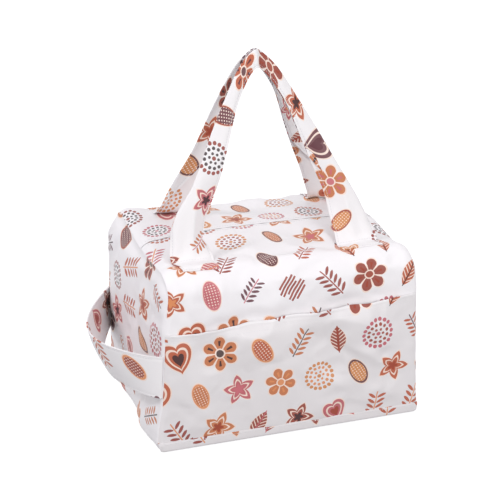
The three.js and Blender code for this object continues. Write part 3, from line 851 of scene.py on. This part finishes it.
def base_profile():
    """Rear rim down, round a bend, across the floor and up the front rim, as y and z."""
    bend = np.linspace(0, np.pi / 2, 8)
    up = np.linspace(RIM_HEIGHT, RIM_BEND, 5)[:-1]
    y = np.concatenate([np.full(4, RIM_OUT), RIM_OUT - RIM_BEND * (1 - np.cos(bend))])
    z = np.concatenate([up, RIM_BEND - RIM_BEND * np.sin(bend)])
    y[0] -= 0.7
    floor = np.linspace(RIM_OUT - RIM_BEND, -RIM_OUT + RIM_BEND, 50)[1:-1]
    return np.concatenate([y, floor, -y[::-1]]), np.concatenate([z, 0 * floor, z[::-1]])


rim_y, rim_z = base_profile()
run = distance_along(np.stack([rim_y, rim_z], -1))[:, None]
rim_y, rim_z = rim_y[:, None], rim_z[:, None]
base_u = np.linspace(-1, 1, 110)
to_rear = smooth((rim_y + EDGE_Y) / (2 * EDGE_Y))
x = base_u * ((1 - to_rear) * both_seams(base_u, rim_z, -1) + to_rear * both_seams(base_u, rim_z, 1))
wave = 0.35 * np.sin(x / 23.0) + 0.25 * np.sin(x / 9.0 + 1)
lift = np.clip(rim_z / RIM_HEIGHT, 0, 1)
corner = np.clip((1 - np.abs(base_u)) * BASE_WIDTH / 12, 0, 1)
y = rim_y - np.sign(rim_y) * (2.0 * (1 - corner) ** 2) + wave * lift * np.sign(rim_y)
grid = np.stack([x, y, rim_z + 0.5 * wave * lift ** 2 + 0 * x], -1)
uv = np.stack([x, run + 0 * x - BASE_PRINT], -1)
base = cloth_mesh("base_cloth", grid, uv, BASE_CLOTH, [thin_and_shaded_cloth])
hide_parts("base_panel")
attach(base, "bag")
rearward = np.array([[0.0, 1.0, 0.0]]) + 0 * grid[0, 2:-2]
rim_rows = stitches("base_rim_stitches",
                    [(grid[1, 2:-2], rearward), (grid[-2, 2:-2], -rearward)])
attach(rim_rows, "bag")

x, y = np.meshgrid(np.linspace(-FLOOR_HALF_X, FLOOR_HALF_X, 80), np.linspace(FLOOR_HALF_Y, -FLOOR_HALF_Y, 60))
swell = 1.2 + 0.6 * np.sin(x / 31) * np.sin(y / 27)
edge = np.minimum(FLOOR_HALF_X - np.abs(x), FLOOR_HALF_Y - np.abs(y))
grid = np.stack([x, -y, FLOOR_Z + swell * np.clip(edge / 20, 0, 1)], -1)
base_inside = cloth_mesh("base_lining_cloth", grid, np.stack([x, y], -1), LINING, [plain_lining])
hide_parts("base_lining")
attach(base_inside, "bag")


# Front slip pocket: a single layer of the printed cloth over the front, sewn in at the base and
# both end seams. Its mouth hangs a little open. Its folds run from x and z.
POCKET_FOOT, POCKET_GAPE, POCKET_CLOTH, POCKET_HALF = 10.0, 8.0, 1.1, 170.0
POCKET_PRINT = 21.0, 5.0
POCKET_FOLDS = [((-150, 160), (-90, 60), 12, 2.0), ((60, 165), (110, 70), 13, 1.9),
                ((-20, 30), (60, 110), 14, -1.5), ((-168, 60), (-120, 20), 9, 1.6)]


def pocket_face(x, z, proud):
    """A point of the pocket: the wall's face, plus a gap that grows towards the mouth, plus its own
    slow dents and the distance it stands proud."""
    u = np.abs(x) / both_seams(x, z, -1)
    wall = wrap(x, z, -1)
    share = np.clip((z - 14) / 157, 0, 1.1)
    inner = 1 - np.clip(u, 0, 1) ** 8
    gape = POCKET_GAPE * share ** 3 * (bell(x, -95, 48) + bell(x, 92, 55) + 0.35) * inner
    dents = ripple(x, z, [(0.8, 170, 90, 0.3), (0.6, -80, 75, 2.4), (0.35, 45, 130, 4.0)]) * inner
    rumple = 4.0 * crumple(x, z, 95, 33) + 4.0 * crumple(x, z, 44, 21) + 1.8 * crumple(x, z, 20, 23)
    dents = dents + rumple * inner
    folds = sum(crease(x, z, *fold) for fold in POCKET_FOLDS) * inner
    tuck = -1.2 * (1 - smooth((z - 9) / 6))
    sewn = smooth((1 - u) * half_width(z) / 8)
    soft = np.maximum((dents + folds) * smooth((z - 12) / 24), -0.3 - gape)
    wall[..., 1] -= 0.15 + (0.35 + gape + soft + proud + tuck) * sewn
    return wall


pocket_u = np.linspace(-1, 1, 121)[None, :]
share = np.linspace(0, 1, 70)[:, None]
mouth = mouth_z(POCKET_HALF * pocket_u)
z = POCKET_FOOT + share * (mouth - 1.0 - POCKET_FOOT)
x = pocket_u * both_seams(pocket_u, z, -1)
uv = np.stack([x, z], -1) + POCKET_PRINT
# The pocket takes the same greyer cloth: partly a thinner single layer, partly painted shade.
pocket = cloth_mesh("pocket_cloth", pocket_face(x, z, 1.2), uv, POCKET_CLOTH, [thin_and_shaded_cloth, plain_lining])
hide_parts("front_pocket")
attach(pocket, "bag")

# Hem: the pocket's top edge folded over to the inside and stitched down. The fold is four layers
# thick, so it is rounder. Near its edge it takes a whiter cloth: partly the thicker fold's own tone, partly a
# painted highlight.
strap_cloth = printed_cloth("printed_cloth_folded_double", "#F0EDEE", 0.5)
HEM_HEIGHT, HEM_STITCH, HEM_CLOTH, HIGHLIGHT_EDGE = 12.0, 10.0, 0.5, 2.5
fold = np.concatenate([np.linspace(-HEM_HEIGHT, -1.2, 9), np.linspace(-0.8, 0.8, 7), np.linspace(1.2, 10, 7)])
fold = fold[:, None]
below = np.maximum(np.abs(fold) - 1.0, 0)
over = np.clip(fold, -1, 1) * np.pi / 2
z = mouth - below - 1.0 + 1.2 * np.cos(over)
x = pocket_u * both_seams(pocket_u, z, -1)
# Its back goes round a half circle. The fold stands proud of the pocket, and its stitches draw it in.
proud = (0.5 - np.sin(over) - 0.25 * smooth((-fold - 5) / 6) + 0.9 * bell(fold, 0, 2.4)
         - 0.3 * bell(fold, -HEM_STITCH, 1.3))
grid = pocket_face(x, np.minimum(z, mouth), proud)
grid[..., 2] = z
uv = np.stack([x, mouth + fold], -1) + POCKET_PRINT
hem = cloth_mesh("pocket_hem_cloth", grid, uv, HEM_CLOTH, [thin_and_shaded_cloth])
hem.data.materials.append(strap_cloth)
# Faces near the fold's edge take the whiter cloth: a painted highlight along the hem, partly the thicker
# fold's own tone.
white = np.repeat(np.abs(fold[:-1, 0] + fold[1:, 0]) / 2 < HIGHLIGHT_EDGE, mouth.size - 1).astype(np.int32)
white = np.concatenate([white, white, np.zeros(len(hem.data.polygons) - 2 * len(white), np.int32)])
hem.data.polygons.foreach_set("material_index", white)
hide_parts("pocket_hem")
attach(hem, "bag")
x = np.linspace(-163, 163, 240)
z = mouth_z(x) - HEM_STITCH
low, path, high = [pocket_face(x, z + step, 0.95) for step in (-2, 0, 2)]
out = np.cross(np.gradient(path, axis=0), high - low)
row = stitches("pocket_hem_stitches", [(path, out)])
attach(row, "bag")


# Carry handles: one folded strap each, sewn flat to its half of the top over 25 to 33 mm, then rising
# with its outer half turned behind, up to where both handles are held together.
STRAP_WIDTH, STRAP_CLOTH, HALF_SPACING, LIFT_OFF, HANDLE_TOP = 57.0, 1.1, 113.0, 80.0, 485.0
FOOT_Z, PEAK_Y, EDGE_STITCH = 246.3, 2.9, 3.4
SEWN_LENGTH = {(-1, -1): 33.0, (-1, 1): 25.0, (1, -1): 33.0, (1, 1): 33.0}
HANDLE_SHIFT, HANDLE_DRAW, HANDLE_FLARE = {-1: -7.0, 1: 16.0}, {-1: 0.0, 1: 11.0}, {-1: 7.5, 1: 0.0}
PINCH, PINCH_TURN = 25.0, 46.0
# The edges of a raised handle: shares of the way up to its top, and how far out the edge is there, as
# a share of how far out its foot is.
OUTER_UP = np.array([0, 0.1, 0.22, 0.4, 0.6, 0.78, 0.9, 0.965, 1])
OUTER_OUT = np.array([1, 0.925, 0.83, 0.66, 0.485, 0.315, 0.19, 0.09, 0])
INNER_UP = np.array([0, 0.1, 0.22, 0.37, 0.55, 0.72, 0.83, 0.885, 0.905])
INNER_OUT = np.array([1, 0.955, 0.885, 0.745, 0.565, 0.385, 0.205, 0.085, 0])


def strap_edge(up, out, half_span, side, stations, flare=0.0):
    """One edge of a raised handle, foot to foot over the peak, at even distances along it. The left
    leg of the front one flares out by flare a little above its foot."""
    half = out * (half_span - HANDLE_DRAW[side] * np.sin(np.pi * up))
    ups = np.concatenate([up, up[-2::-1]])
    xs = np.concatenate([-half, half[-2::-1]])
    knots = np.linspace(0, 1, len(ups))
    fine = np.linspace(0, 1, 400)
    ups, xs = through(fine, knots, ups), through(fine, knots, xs)
    xs = xs - flare * np.sin(np.pi * np.clip(ups / 0.33, 0, 1)) ** 1.5 * (fine < 0.5)
    x = xs + HANDLE_SHIFT[side] + (HANDLE_SHIFT[-1] - HANDLE_SHIFT[side]) * ups
    y = side * (LIFT_OFF + (PEAK_Y - LIFT_OFF) * ups)
    z = FOOT_Z + (HANDLE_TOP - FOOT_Z) * ups
    points = np.stack([x, y, z], -1)
    way = distance_along(points)
    even = np.linspace(0, way[-1], stations)
    return at_distance(even, way, points), np.interp(even, way, ups)


def handle_grid(side):
    """Rows along the strap, columns across it from its inner edge. A row runs straight to the leg's
    outer edge, and what is left of the strap's width turns back behind it, further up the leg."""
    stations, across = 281, 53
    half = STRAP_WIDTH / 2
    outer, _ = strap_edge(OUTER_UP, OUTER_OUT, HALF_SPACING + half, side, stations, HANDLE_FLARE[side])
    inner, up = strap_edge(INNER_UP, INNER_OUT, HALF_SPACING - half, side, stations)
    up = up / up.max()
    reach = outer - inner
    width = np.linalg.norm(reach, axis=1)[:, None]
    v = np.linspace(0, 1, across)
    q = v[None, :] * STRAP_WIDTH
    # How far the strap turns back at the leg's outer edge, and how soft the bend is, up the leg.
    turn = np.radians(through(up, [0, 0.04, 0.09, 0.2, 0.4, 1.0], [0, 60, 118, 150, 168, 174]))[:, None]
    soft = through(up, [0, 0.1, 0.3, 1.0], [10.0, 7.5, 4.0, 2.2])[:, None]
    bend = smooth((q - width + soft) / (2 * soft)) * turn
    bend = (bend[:, 1:] + bend[:, :-1]) / 2
    step = STRAP_WIDTH / (across - 1)
    edge = np.zeros((stations, 1))
    lay, behind = [np.concatenate([edge, np.cumsum(part(bend) * step, 1)], 1) for part in (np.cos, np.sin)]
    # What is turned back stays behind the leg, also where the leg is narrow.
    lay = lay * width / lay.max(1, keepdims=True)
    past = np.arange(across)[None, :] > lay.argmax(1)[:, None]
    tail = np.minimum((width - 1) / np.maximum(width - lay[:, -1:], 1), 1)
    lay = np.where(past, width - (width - lay) * tail, lay)
    rise = HANDLE_TOP - FOOT_Z
    slant = np.hypot(rise, LIFT_OFF - PEAK_Y)
    back = np.array([0, -side * rise / slant, -(LIFT_OFF - PEAK_Y) / slant])
    # The leg is a little round, with taut ridges near its foot, and sways to the front and the rear.
    shown = np.clip(q / width, 0, 1)
    taut = np.exp(-up / 0.12)[:, None]
    camber = (1.5 * np.sin(np.pi * shown) * smooth(up / 0.25)[:, None]
              + 0.8 * taut * np.sin(2 * np.pi * (2.4 * shown + 0.1)) * np.sin(np.pi * shown))
    way = np.linspace(-1, 1, stations)
    sway = 1.6 * np.sin(way * 9.0 + side) * np.sin(np.pi * np.clip(up, 0, 1))
    # The turned part stops short of the other handle.
    room = np.maximum(np.abs(inner[:, 1]) - 0.7, 1.0)[:, None]
    behind = room * (1 - np.exp(-behind / room))
    # The front handle's inner edges are pinched back too, by tucked times PINCH_TURN up each leg.
    if side < 0:
        tucked = np.where(way < 0, through(up, [0, 0.05, 0.14, 0.3, 0.45, 1], [0.1, 0.9, 1, 0.5, 0, 0]),
                          0.8 * through(up, [0, 0.08, 0.25, 0.45, 0.6, 1], [0.1, 0.5, 1, 0.5, 0, 0]))
        tucked = np.radians(PINCH_TURN) * tucked[:, None]
        short = np.where(q < PINCH - 2, PINCH - q, np.maximum(PINCH + 2 - q, 0) ** 2 / 8)
        lay = lay + short * (1 - np.cos(tucked))
        behind = behind + short * np.sin(tucked)
    grid = inner[:, None, :] + reach[:, None, :] * (lay / width)[..., None]
    grid = grid + back * (behind - camber + sway[:, None])[..., None]
    # Over the peak the strap folds across itself in a short mitre.
    along = way * 260
    mitre = np.interp(along, [-30, -14, 0, 7, 24, 45], [0, -0.8, -4.2, 4.4, 1.4, 0])
    grid[..., 1] += mitre[:, None]
    return grid, v


def sewn_grid(side, v, outward):
    """The flat sewn end on the left (outward -1) or right (1), laid on the top, as rows from its
    stitched edge up to the lift-off line."""
    centre_x = outward * HALF_SPACING + HANDLE_SHIFT[side]
    length = SEWN_LENGTH[side, outward]
    s = np.linspace(ZIP_S - LIFT_OFF - length, ZIP_S - LIFT_OFF - 1.5, 24)[:, None]
    x = centre_x + (v - 0.5)[None, :] * STRAP_WIDTH * outward + 0 * s
    if side * outward > 0:
        x = x - outward * 9.0 * v[None, :] ** 2 * (1 - smooth((s - s[0]) / length))
    s = s + 0 * x
    place, normal = facing(x, s, side)
    inset = np.minimum(np.minimum(v, 1 - v)[None, :] * STRAP_WIDTH, s - s[0, 0])
    pillow = 0.5 * np.clip(inset / 6, 0, 1) * (1 + 0.5 * np.sin(x / 3.1) * np.sin(s / 5.0))
    return place + normal * (STRAP_CLOTH + 0.1 + pillow)[..., None]


def ease(grid, at, reach):
    """Rounds the bend at row number at: rows near it move to the average of their neighbours."""
    near = bell(np.arange(len(grid)), at, reach)[:, None, None]
    for _ in range(14):
        mean = grid.copy()
        mean[1:-1] = (grid[:-2] + 2 * grid[1:-1] + grid[2:]) / 4
        grid = grid + near * (mean - grid)
    return grid


def topstitched(grid, v, thickness):
    """Face and back of a folded strap, both sunk along the two rows of stitching near its edges, and
    those rows as paths with their normals: two on the face, then two on the back."""
    normal = grid_normal(grid)
    edge = np.minimum(v, 1 - v) * STRAP_WIDTH
    sunk = 0.35 * bell(edge, EDGE_STITCH, 1.3)[None, :, None]
    face, back = grid - sunk * normal, grid - (thickness - sunk) * normal
    rows = []
    for sheet, out in ((face, normal), (back, -normal)):
        for column in (EDGE_STITCH, STRAP_WIDTH - EDGE_STITCH):
            at = column / STRAP_WIDTH * (len(v) - 1)
            i, part = int(at), at % 1
            rows.append([both[:, i] * (1 - part) + both[:, i + 1] * part for both in (sheet, out)])
    return face, back, rows, normal


def make_handle(side):
    """One handle in a single length of cloth: sewn end, raised strap and sewn end. Its stitches are the
    two rows along it and a row across both edges of each sewn end."""
    raised, v = handle_grid(side)
    left, right = sewn_grid(side, v, -1), sewn_grid(side, v, 1)
    grid = np.concatenate([left, raised, right[::-1]])
    grid = ease(ease(grid, len(left), 5), len(left) + len(raised), 5)
    way = distance_along(grid[:, 4])[:, None]
    uv = np.stack([way + 0 * v, v * STRAP_WIDTH + 0 * way + 40 * side], -1)
    if side < 0:
        grid, uv = grid[:, ::-1], uv[:, ::-1]
    name = SIDE_NAME[side] + "_handle"
    face, back, rows, normal = topstitched(grid, v, STRAP_CLOTH)
    strap = cloth_mesh(name + "_strap", face, uv, STRAP_CLOTH, [strap_cloth], back)
    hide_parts(name, name + "_left_end", name + "_right_end")
    ends = len(left)
    rows[2:] = [[both[ends + 6:-ends - 6] for both in row] for row in rows[2:]]
    rows += [[both[i, 4:-4] for both in (face, normal)] for i in (2, ends - 3, 2 - ends, -3)]
    thread_rows = stitches(name + "_stitches", rows)
    for piece in (strap, thread_rows):
        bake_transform(piece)


make_handle(-1)
make_handle(1)


# Grab strap: the same folded strap across the left end, caught in both upright seams, and bowed
# out far enough for a hand. Its upper edge bows further than its lower one.
GRAB_HEIGHT, GRAB_TOP_BOW, GRAB_FOOT_BOW, GRAB_POWER, GRAB_CLOTH = 104.0, 70.0, 45.0, 0.78, 2.0


def grab_grid(v):
    """Rows along the strap from the rear seam to the front one, columns from its top edge down."""
    t = np.linspace(0, 1, 130)[:, None]
    bow = np.sin(np.pi * (1 - t) ** GRAB_POWER)
    reach = GRAB_TOP_BOW + (GRAB_FOOT_BOW - GRAB_TOP_BOW) * v + 2.5 * np.sin(np.pi * v) * bow
    sag = 1.5 * np.sin(2 * np.pi * t + 1) * np.sin(np.pi * t)
    z = GRAB_HEIGHT + STRAP_WIDTH * (0.5 - v) + sag
    y = (DEPTH / 2 - CLOTH) * (2 * t - 1) + 0 * v
    x = -half_width(z) - 1.0 - reach * bow
    return np.stack([x, -y, z], -1), np.stack([270 * t + 0 * v, STRAP_WIDTH * v + 0 * t + 8], -1)


v = np.linspace(0, 1, 53)
grid, uv = grab_grid(v)
face, back, rows, _ = topstitched(grid, v, GRAB_CLOTH)
grab = cloth_mesh("grab_strap_cloth", face, uv, GRAB_CLOTH, [strap_cloth], back)
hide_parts("grab_strap")
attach(grab, "bag")
thread_rows = stitches("grab_strap_stitches", [[both[3:-3] for both in row] for row in rows])
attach(thread_rows, "bag")


# Zip: woven tape and a nylon coil under the lip of each half, with a slider, a pull and stops of
# die-cast zinc in white enamel. The tape is dull, the coil has a soft gloss and the enamel a clear one.
tape_weave = simple_material("woven_polyester_tape", "#E6E6E7", 0.8, 1500.0, 0.0003)
nylon = simple_material("white_nylon_coil", "#F0F0F0", 0.35, 400.0, 0.0001)
enamel = simple_material("white_enamel_on_zinc", "#EDEDED", 0.22, 300.0, 0.00005)
ZIP_HALF, CLOSED_END, TAPE_TOP, TAPE_CLOTH, TAPE_INNER, TAPE_OUTER = 160.0, 129.0, 2.1, 0.8, 2.1, 14.9
COIL_PITCH, COIL_OUT, COIL_DEPTH, COIL_RADIUS, COIL_THREAD = 1.7, 0.95, 2.95, 0.55, 0.34


def under_lip(x, out, depth, side):
    """A point under the top half: x along the zip, out from its middle, at a depth below the face."""
    place, normal = facing(x, ZIP_S - out, side)
    return place - depth[..., None] * normal


def coil_mesh(name, side, x0, x1):
    """A spring of nylon from x0 to x1: a round thread of five sides, carried round a circle as it goes
    along. The springs of both halves all but meet in the middle."""
    turns = int((x1 - x0) / COIL_PITCH)
    t = np.linspace(0, 1, turns * 9)[:, None]
    ring = np.linspace(0, 2 * np.pi, 6)[None, :-1]
    angle = 2 * np.pi * turns * t
    x = x0 + (x1 - x0) * t + 0.36 * np.sin(ring)
    radius = COIL_RADIUS + COIL_THREAD * np.cos(ring)
    out = COIL_OUT + radius * np.cos(angle)
    depth = COIL_DEPTH + radius * np.sin(angle)
    points = under_lip(x, out, depth, side)
    rows, columns = points.shape[:2]
    index = np.arange(rows * columns).reshape(rows, columns)
    after = np.roll(index, -1, 1)
    faces = np.stack([index[:-1], index[1:], after[1:], after[:-1]], -1).reshape(-1, 4)
    if side > 0:
        faces = faces[:, ::-1]
    caps = [index[0].tolist(), index[-1][::-1].tolist()]
    return smooth_object(name, points, faces.tolist() + caps, [nylon])


for side in (-1, 1):
    word = SIDE_NAME[side]
    for part, label in ((0, "middle"), (-1, "left"), (1, "right")):
        low, high = {0: (-FLAP_X, FLAP_X), -1: (-ZIP_HALF, -FLAP_X), 1: (FLAP_X, ZIP_HALF)}[part]
        columns = 101 if part == 0 else 8
        outs = np.linspace(TAPE_OUTER, TAPE_INNER, 6)
        x, out = np.meshgrid(np.linspace(low, high, columns)[::-side], outs)
        face, back = [under_lip(x, out, depth + 0 * x, side) for depth in (TAPE_TOP, TAPE_TOP + TAPE_CLOTH)]
        uv = np.stack([x, out], -1)
        tape = cloth_mesh(f"{word}_tape_{label}", face, uv, TAPE_CLOTH, [tape_weave], back)
        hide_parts(f"{word}_zip_tape")
        bend_with_top(tape)
        if part < 1:
            coil = coil_mesh(f"{word}_coil_{label}", side, low, CLOSED_END if part == 0 else high)
            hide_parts(f"{word}_zip_coil")
            bend_with_top(coil)
    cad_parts[f"{word}_zip_stop"].material_slots[0].material = enamel
for name in ("zip_slider", "zip_pull"):
    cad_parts[name].material_slots[0].material = enamel
